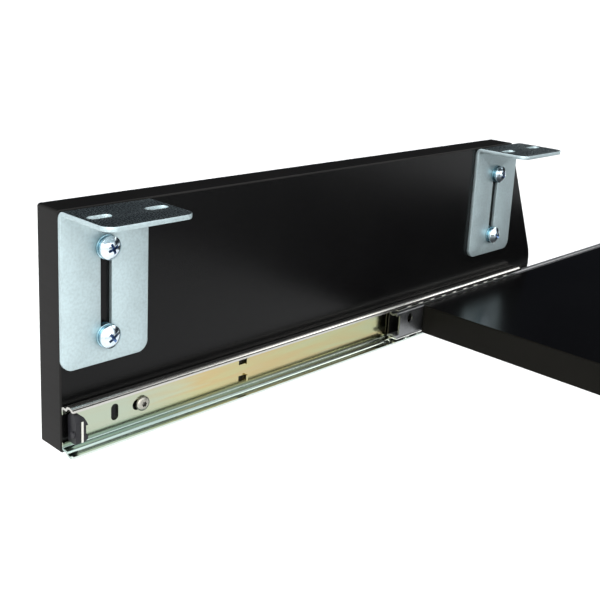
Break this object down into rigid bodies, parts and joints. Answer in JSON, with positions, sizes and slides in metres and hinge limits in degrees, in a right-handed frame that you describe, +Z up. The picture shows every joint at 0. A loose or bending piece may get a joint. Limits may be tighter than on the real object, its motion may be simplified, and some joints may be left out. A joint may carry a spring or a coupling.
{
  "type": "under-desk keyboard tray",
  "caption": "Sliding keyboard shelf on ball-bearing slides between two side boards that hang from slotted angle brackets under a desk.",
  "frame": {"origin": "in the plane of the desk's underside, midway between the side boards and midway between the front and rear brackets", "axes": "+Z up, the user sits at -Y and the tray pulls out towards -Y, +X is the user's right"},
  "size_m": [0.658, 0.631, 0.123],
  "materials": {
    "black_board": "black satin laminate on board",
    "black_edging": "black plastic edging",
    "zinc_bracket": "bright zinc plate",
    "zinc_fastener": "blue-white zinc plate",
    "insert_brass": "plain brass",
    "slide_steel": "pale passivated zinc on rolled steel",
    "wood_screw_steel": "nickel plate",
    "ball_steel": "polished",
    "cage_steel": "plain steel strip",
    "bumper_rubber": "moulded",
    "inner_steel": "zinc on rolled steel"
  },
  "bodies": {
    "frame": {"left_side_plate": "black_board", "left_plate_edging": "black_edging", "left_plate_inserts": "insert_brass", "left_rear_bracket": "zinc_bracket", "left_front_bracket": "zinc_bracket", "left_bracket_screws": "zinc_fastener", "left_spring_washers": "zinc_fastener", "left_flat_washers": "zinc_fastener", "left_outer_member": "slide_steel", "left_slide_bumper": "bumper_rubber", "left_slide_screws": "wood_screw_steel", "right_side_plate": "black_board", "right_plate_edging": "black_edging", "right_plate_inserts": "insert_brass", "right_rear_bracket": "zinc_bracket", "right_front_bracket": "zinc_bracket", "right_bracket_screws": "zinc_fastener", "right_spring_washers": "zinc_fastener", "right_flat_washers": "zinc_fastener", "right_outer_member": "slide_steel", "right_slide_bumper": "bumper_rubber", "right_slide_screws": "wood_screw_steel"},
    "tray": {"tray_shelf": "black_board", "tray_edging": "black_edging", "left_inner_member": "inner_steel", "left_tray_screws": "wood_screw_steel", "right_inner_member": "inner_steel", "right_tray_screws": "wood_screw_steel"},
    "left_cage": {"left_ball_cage": "cage_steel", "left_balls": "ball_steel"},
    "right_cage": {"right_ball_cage": "cage_steel", "right_balls": "ball_steel"}
  },
  "joints": [
    {"name": "tray_slide", "type": "slide", "parent": "frame", "child": "tray", "axis": [0, -1, 0], "range_m": [-0.235, 0]},
    {"name": "left_cage_slide", "type": "slide", "parent": "frame", "child": "left_cage", "axis": [0, -1, 0], "range_m": [-0.1175, 0]},
    {"name": "right_cage_slide", "type": "slide", "parent": "frame", "child": "right_cage", "axis": [0, -1, 0], "range_m": [-0.1175, 0]}
  ],
  "couplings": [
    {"joint": "left_cage_slide", "follows": "tray_slide", "ratio": 0.5},
    {"joint": "right_cage_slide", "follows": "tray_slide", "ratio": 0.5}
  ]
}
